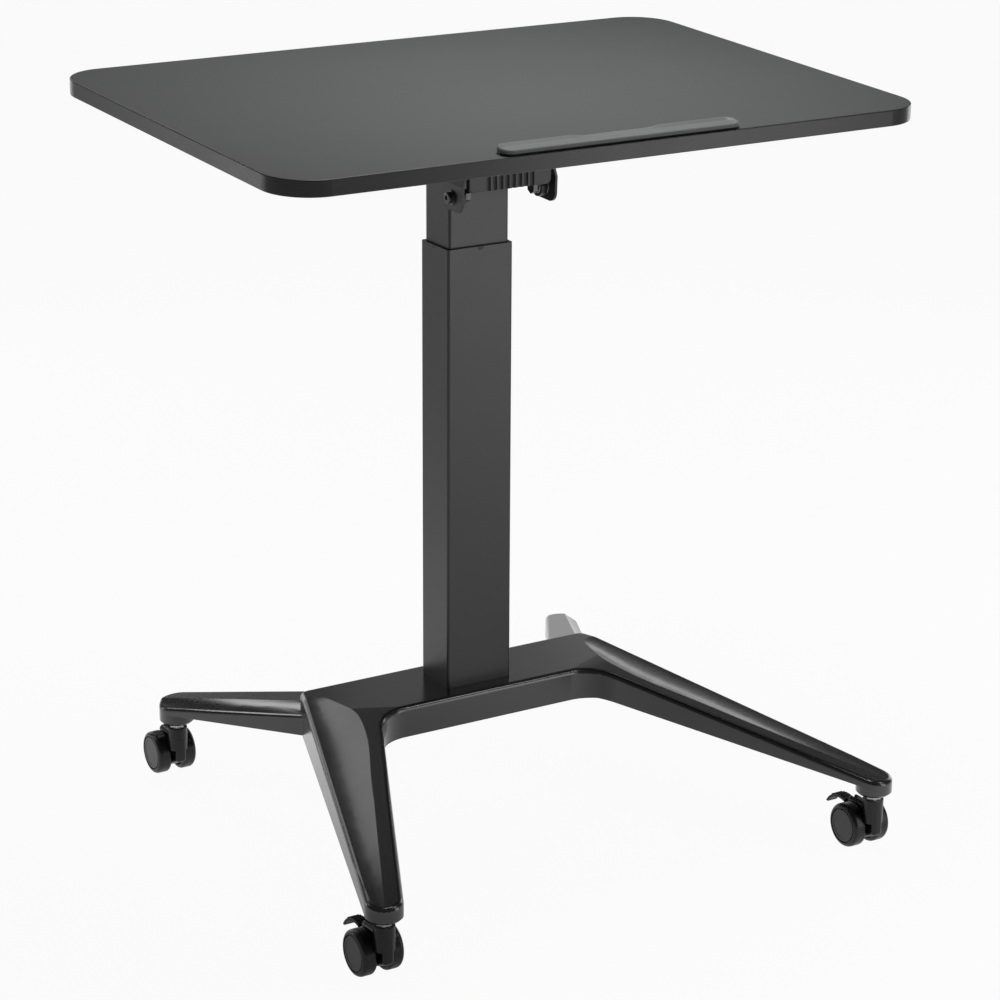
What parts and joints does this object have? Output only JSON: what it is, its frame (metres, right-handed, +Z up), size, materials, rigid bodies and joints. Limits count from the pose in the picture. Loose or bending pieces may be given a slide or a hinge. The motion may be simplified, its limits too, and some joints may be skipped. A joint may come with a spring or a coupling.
{
  "type": "mobile laptop desk",
  "caption": "Height-adjustable mobile laptop desk: tilting rounded desktop with a stop strip, telescopic gas-lift column with a release paddle, and a cast splayed base on twin-wheel casters.",
  "frame": {"origin": "on the floor under the middle of the object's box, in the left-right symmetry plane", "axes": "+Z up, +X to the user's right, -Y towards the user"},
  "size_m": [0.8, 0.674, 0.8786],
  "materials": {
    "cast_alloy": "satin black powder coat on a die casting",
    "powder_coat": "fine satin black powder coat",
    "laminate": "black melamine laminate on board",
    "edge_band": "black edge band",
    "stop_strip": "soft mid-grey moulding",
    "paddle_plastic": "matt black moulding",
    "glide_plastic": "plain black nylon",
    "friction_plastic": "pale friction washer",
    "zinc_steel": "zinc plate",
    "black_steel": "black oxide",
    "rod_chrome": "hard chrome",
    "hood_plastic": "black nylon",
    "wheel_tread": "dark soft tread",
    "wheel_cap": "satin black cap",
    "pedal_plastic": "black nylon"
  },
  "bodies": {
    "base": {"base_casting": "cast_alloy", "outer_tube": "powder_coat", "upper_glide": "glide_plastic", "foot_plate": "powder_coat", "foot_bolts": "zinc_steel", "gas_cylinder": "black_steel", "gas_gland": "glide_plastic", "caster_stems": "zinc_steel"},
    "column": {"inner_tube": "powder_coat", "lower_glide": "glide_plastic", "gas_rod": "rod_chrome", "gas_piston": "zinc_steel", "rod_nuts": "zinc_steel", "head_bracket": "powder_coat", "friction_washers": "friction_plastic", "pivot_washers": "zinc_steel", "pivot_bolts": "black_steel", "disc_springs": "zinc_steel", "pivot_nuts": "zinc_steel", "lever_pin": "zinc_steel"},
    "desktop": {"desktop_board": "laminate", "desktop_edge_band": "edge_band", "stop_strip": "stop_strip", "tilt_yoke": "powder_coat", "yoke_screws": "zinc_steel"},
    "lever": {"lever_arm": "powder_coat", "release_paddle": "paddle_plastic"},
    "valve_pin": {"release_pin": "zinc_steel"},
    "caster_fl": {"caster_fl_hood": "hood_plastic", "caster_fl_axle": "zinc_steel"},
    "caster_fl_wheel_l": {"caster_fl_wheel_l": "wheel_tread", "caster_fl_cap_l": "wheel_cap"},
    "caster_fl_wheel_r": {"caster_fl_wheel_r": "wheel_tread", "caster_fl_cap_r": "wheel_cap"},
    "caster_fl_pedal": {"caster_fl_brake_pedal": "pedal_plastic"},
    "caster_fr": {"caster_fr_hood": "hood_plastic", "caster_fr_axle": "zinc_steel"},
    "caster_fr_wheel_l": {"caster_fr_wheel_l": "wheel_tread", "caster_fr_cap_l": "wheel_cap"},
    "caster_fr_wheel_r": {"caster_fr_wheel_r": "wheel_tread", "caster_fr_cap_r": "wheel_cap"},
    "caster_fr_pedal": {"caster_fr_brake_pedal": "pedal_plastic"},
    "caster_rl": {"caster_rl_hood": "hood_plastic", "caster_rl_axle": "zinc_steel"},
    "caster_rl_wheel_l": {"caster_rl_wheel_l": "wheel_tread", "caster_rl_cap_l": "wheel_cap"},
    "caster_rl_wheel_r": {"caster_rl_wheel_r": "wheel_tread", "caster_rl_cap_r": "wheel_cap"},
    "caster_rr": {"caster_rr_hood": "hood_plastic", "caster_rr_axle": "zinc_steel"},
    "caster_rr_wheel_l": {"caster_rr_wheel_l": "wheel_tread", "caster_rr_cap_l": "wheel_cap"},
    "caster_rr_wheel_r": {"caster_rr_wheel_r": "wheel_tread", "caster_rr_cap_r": "wheel_cap"}
  },
  "joints": [
    {"name": "column_lift", "type": "slide", "parent": "base", "child": "column", "axis": [0, 0, 1], "range_m": [-0.1, 0.26]},
    {"name": "desktop_tilt", "type": "hinge", "parent": "column", "child": "desktop", "pos_m": [0, -0.008, 0.7575], "axis": [1, 0, 0], "range_deg": [-2, 58]},
    {"name": "release_lever_lift", "type": "hinge", "parent": "column", "child": "lever", "pos_m": [0, 0.041, 0.806], "axis": [-1, 0, 0], "range_deg": [0, 10], "stiffness_Nm_per_rad": 2, "springref_deg": -5.73},
    {"name": "release_pin_slide", "type": "slide", "parent": "column", "child": "valve_pin", "axis": [0, 0, -1], "range_m": [0, 0.00384]},
    {"name": "caster_fl_swivel", "type": "hinge", "parent": "base", "child": "caster_fl", "pos_m": [-0.324, -0.316, 0.05], "axis": [0, 0, 1], "continuous": true},
    {"name": "caster_fl_roll_l", "type": "hinge", "parent": "caster_fl", "child": "caster_fl_wheel_l", "pos_m": [-0.324, -0.292, 0.026], "axis": [1, 0, 0], "continuous": true},
    {"name": "caster_fl_roll_r", "type": "hinge", "parent": "caster_fl", "child": "caster_fl_wheel_r", "pos_m": [-0.324, -0.292, 0.026], "axis": [1, 0, 0], "continuous": true},
    {"name": "caster_fl_brake", "type": "hinge", "parent": "caster_fl", "child": "caster_fl_pedal", "pos_m": [-0.324, -0.282, 0.042], "axis": [-1, 0, 0], "range_deg": [0, 15]},
    {"name": "caster_fr_swivel", "type": "hinge", "parent": "base", "child": "caster_fr", "pos_m": [0.324, -0.316, 0.05], "axis": [0, 0, 1], "continuous": true},
    {"name": "caster_fr_roll_l", "type": "hinge", "parent": "caster_fr", "child": "caster_fr_wheel_l", "pos_m": [0.324, -0.292, 0.026], "axis": [1, 0, 0], "continuous": true},
    {"name": "caster_fr_roll_r", "type": "hinge", "parent": "caster_fr", "child": "caster_fr_wheel_r", "pos_m": [0.324, -0.292, 0.026], "axis": [1, 0, 0], "continuous": true},
    {"name": "caster_fr_brake", "type": "hinge", "parent": "caster_fr", "child": "caster_fr_pedal", "pos_m": [0.324, -0.282, 0.042], "axis": [-1, 0, 0], "range_deg": [0, 15]},
    {"name": "caster_rl_swivel", "type": "hinge", "parent": "base", "child": "caster_rl", "pos_m": [-0.277, 0.287, 0.05], "axis": [0, 0, 1], "continuous": true},
    {"name": "caster_rl_roll_l", "type": "hinge", "parent": "caster_rl", "child": "caster_rl_wheel_l", "pos_m": [-0.277, 0.311, 0.026], "axis": [1, 0, 0], "continuous": true},
    {"name": "caster_rl_roll_r", "type": "hinge", "parent": "caster_rl", "child": "caster_rl_wheel_r", "pos_m": [-0.277, 0.311, 0.026], "axis": [1, 0, 0], "continuous": true},
    {"name": "caster_rr_swivel", "type": "hinge", "parent": "base", "child": "caster_rr", "pos_m": [0.277, 0.287, 0.05], "axis": [0, 0, 1], "continuous": true},
    {"name": "caster_rr_roll_l", "type": "hinge", "parent": "caster_rr", "child": "caster_rr_wheel_l", "pos_m": [0.277, 0.311, 0.026], "axis": [1, 0, 0], "continuous": true},
    {"name": "caster_rr_roll_r", "type": "hinge", "parent": "caster_rr", "child": "caster_rr_wheel_r", "pos_m": [0.277, 0.311, 0.026], "axis": [1, 0, 0], "continuous": true}
  ],
  "couplings": [
    {"joint": "release_pin_slide", "follows": "release_lever_lift", "m_per_rad": 0.022}
  ]
}
